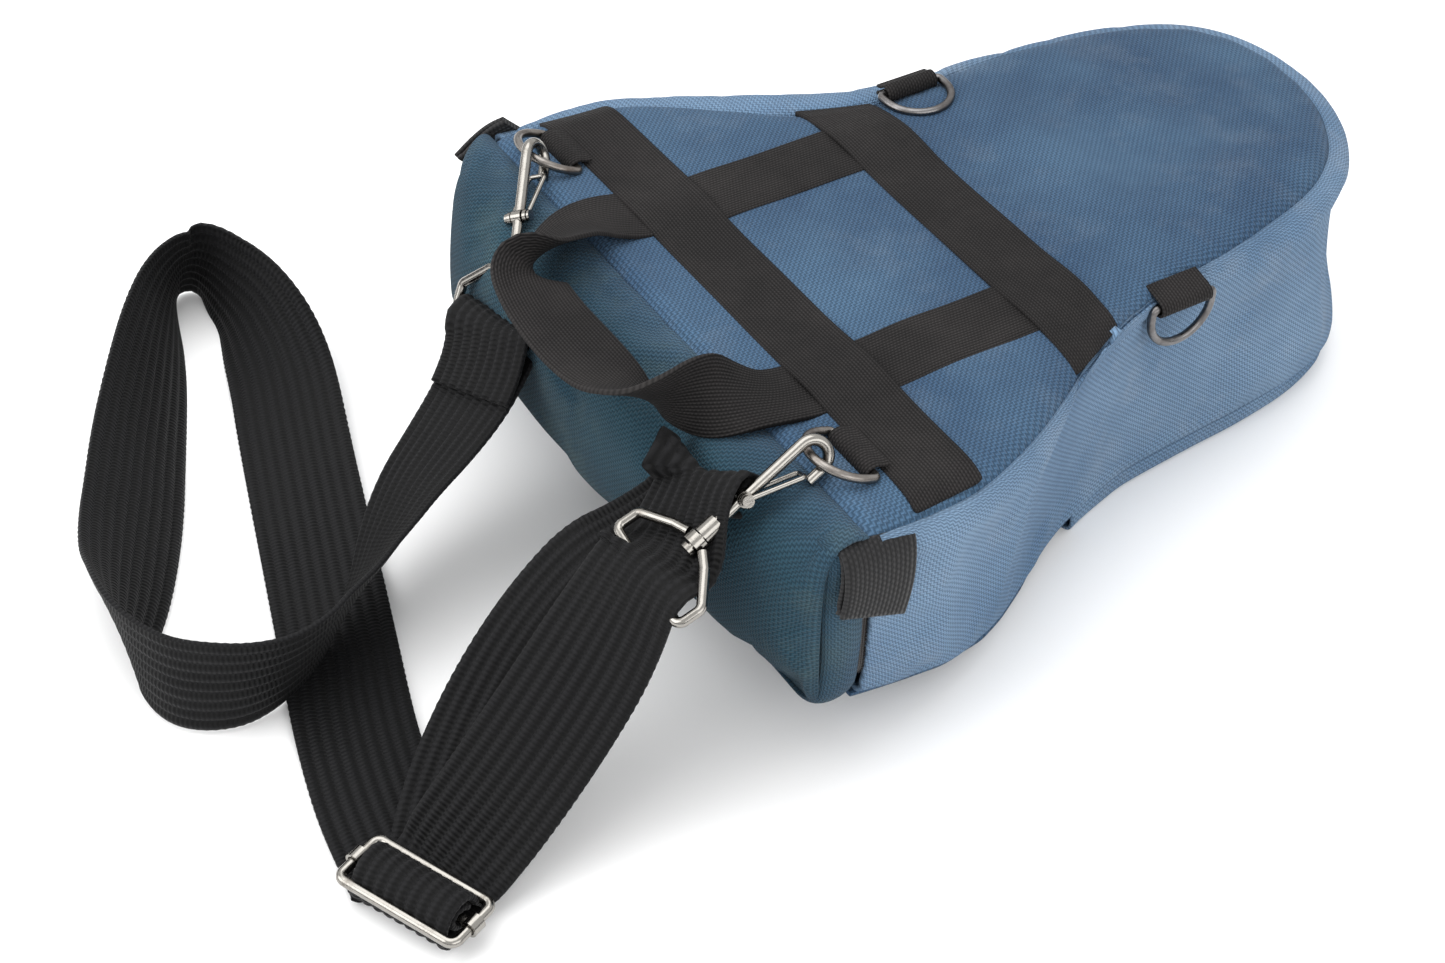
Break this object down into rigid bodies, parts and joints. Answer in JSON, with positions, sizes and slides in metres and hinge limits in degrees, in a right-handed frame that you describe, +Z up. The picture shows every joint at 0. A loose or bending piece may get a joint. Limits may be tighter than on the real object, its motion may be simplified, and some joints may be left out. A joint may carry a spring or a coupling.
{
  "type": "camera_bag",
  "caption": "Navy canvas top-loading camera bag lying on its front, with webbing bands, carry handle, D-rings and a clipped-on shoulder strap with a slide adjuster.",
  "frame": {"origin": "centre of the bag's base on the ground, at the middle of its length and width without the shoulder strap", "axes": "+X from the lid to the round lens end, +Y to the side away from the near D-ring, +Z up from the ground to the back panel"},
  "size_m": [0.4536, 0.3164, 0.1055],
  "materials": {
    "navy_canvas": "fine plain-weave canvas, faded and a little dusty",
    "lid_canvas": "the same canvas, rubbed greener and dirtier",
    "padding_foam": "closed-cell foam padding, hidden inside the walls",
    "lining_nylon": "smooth dark nylon lining",
    "charcoal_webbing": "fine ribbed webbing, matte charcoal",
    "zip_tape_brown": "woven zip tape faded to brown black",
    "zip_coil_black": "moulded nylon coil",
    "worn_nickel": "nickel plate worn brownish at the edges",
    "gunmetal": "dark tarnished nickel",
    "bright_nickel": "bright warm nickel plate",
    "black_strap": "chunky ribbed strap webbing, black"
  },
  "bodies": {
    "bag": {"back_panel": "navy_canvas", "body_gusset": "navy_canvas", "front_panel": "navy_canvas", "body_padding": "padding_foam", "body_lining": "lining_nylon", "lens_end_pad": "padding_foam", "pocket_panel": "navy_canvas", "pocket_gusset": "navy_canvas", "pocket_zip_tape": "zip_tape_brown", "pocket_zip_coil": "zip_coil_black", "body_zip_tape": "zip_tape_brown", "body_zip_coil": "zip_coil_black", "grip_tab_near": "charcoal_webbing", "grip_tab_far": "charcoal_webbing", "band_upper": "charcoal_webbing", "band_lower": "charcoal_webbing", "back_strap_far": "charcoal_webbing", "back_strap_near": "charcoal_webbing", "ring_loop_upper_far": "charcoal_webbing", "ring_loop_upper_near": "charcoal_webbing", "ring_loop_lower_far": "charcoal_webbing", "ring_loop_lower_near": "charcoal_webbing"},
    "lid": {"lid_hinge_strip": "navy_canvas", "lid_end_panel": "lid_canvas", "lid_gusset": "lid_canvas", "lid_padding": "padding_foam", "lid_lining": "lining_nylon", "lid_zip_tape": "zip_tape_brown", "lid_zip_coil": "zip_coil_black"},
    "strap_set": {"d_ring_upper_far": "worn_nickel", "d_ring_upper_near": "worn_nickel", "strap_ring_far": "bright_nickel", "strap_ring_near": "bright_nickel", "strap_far_loop": "black_strap", "strap_main": "black_strap", "strap_slider_wrap": "black_strap", "strap_sewn_end": "black_strap", "strap_near_fold": "black_strap", "strap_upper_leg": "black_strap", "strap_lower_leg": "black_strap", "slider_frame": "bright_nickel", "slider_bar": "bright_nickel"},
    "handle": {"carry_handle": "charcoal_webbing"},
    "hook_far_body": {"hook_far": "bright_nickel", "hook_rivet_far": "bright_nickel"},
    "hook_near_body": {"hook_near": "bright_nickel", "hook_rivet_near": "bright_nickel"},
    "gate_far": {"hook_gate_far": "bright_nickel"},
    "gate_near": {"hook_gate_near": "bright_nickel"},
    "ring_lower_far": {"d_ring_lower_far": "gunmetal"},
    "ring_lower_near": {"d_ring_lower_near": "gunmetal"},
    "lid_slider": {"lid_zip_slider": "worn_nickel"},
    "lid_pull": {"lid_zip_pull": "worn_nickel"},
    "pocket_slider": {"pocket_zip_slider": "worn_nickel"},
    "pocket_pull": {"pocket_zip_pull": "worn_nickel"}
  },
  "joints": [
    {"name": "lid_hinge", "type": "hinge", "parent": "bag", "child": "lid", "pos_m": [-0.1155, 0, 0.09], "axis": [0, 1, 0], "range_deg": [0, 100]},
    {"name": "strap_swing", "type": "hinge", "parent": "bag", "child": "strap_set", "pos_m": [-0.1015, 0, 0.0931], "axis": [0, 1, 0], "range_deg": [0, 100]},
    {"name": "handle_swing", "type": "hinge", "parent": "bag", "child": "handle", "pos_m": [-0.098, 0, 0.0962], "axis": [0, 1, 0], "range_deg": [0, 100]},
    {"name": "hook_swivel_far", "type": "hinge", "parent": "strap_set", "child": "hook_far_body", "pos_m": [-0.13931, 0.05088, 0.08302], "axis": [-0.5216, -0.7027, -0.4839], "range_deg": [-5, 5]},
    {"name": "hook_gate_far", "type": "hinge", "parent": "hook_far_body", "child": "gate_far", "pos_m": [-0.12981, 0.06367, 0.09183], "axis": [0.5473, -0.7107, 0.442], "range_deg": [0, 11], "stiffness_Nm_per_rad": 0.02},
    {"name": "hook_swivel_near", "type": "hinge", "parent": "strap_set", "child": "hook_near_body", "pos_m": [-0.15528, -0.08646, 0.08422], "axis": [-0.8917, -0.0712, -0.4471], "range_deg": [-5, 5]},
    {"name": "hook_gate_near", "type": "hinge", "parent": "hook_near_body", "child": "gate_near", "pos_m": [-0.13905, -0.08517, 0.09236], "axis": [-0.1667, -0.8666, 0.4704], "range_deg": [0, 11], "stiffness_Nm_per_rad": 0.02},
    {"name": "ring_hinge_lower_far", "type": "hinge", "parent": "bag", "child": "ring_lower_far", "pos_m": [0.02, 0.0615, 0.0931], "axis": [-1, 0, 0], "range_deg": [0, 150]},
    {"name": "ring_hinge_lower_near", "type": "hinge", "parent": "bag", "child": "ring_lower_near", "pos_m": [0.034, -0.0706, 0.086], "axis": [-1, 0, 0], "range_deg": [0, 150]},
    {"name": "lid_zip_slide", "type": "slide", "parent": "lid", "child": "lid_slider", "axis": [0, 0, -1], "range_m": [0, 0.014]},
    {"name": "lid_pull_hinge", "type": "hinge", "parent": "lid_slider", "child": "lid_pull", "pos_m": [-0.11, 0.1164, 0.056], "axis": [1, 0, 0], "range_deg": [0, 140]},
    {"name": "pocket_zip_slide", "type": "slide", "parent": "bag", "child": "pocket_slider", "axis": [0, -1, 0], "range_m": [0, 0.09]},
    {"name": "pocket_pull_hinge", "type": "hinge", "parent": "pocket_slider", "child": "pocket_pull", "pos_m": [-0.0013, 0.052, 0.0046], "axis": [0, 0, -1], "range_deg": [0, 120]}
  ],
  "couplings": [
    {"joint": "strap_swing", "follows": "lid_hinge", "ratio": 1},
    {"joint": "handle_swing", "follows": "lid_hinge", "ratio": 1}
  ]
}
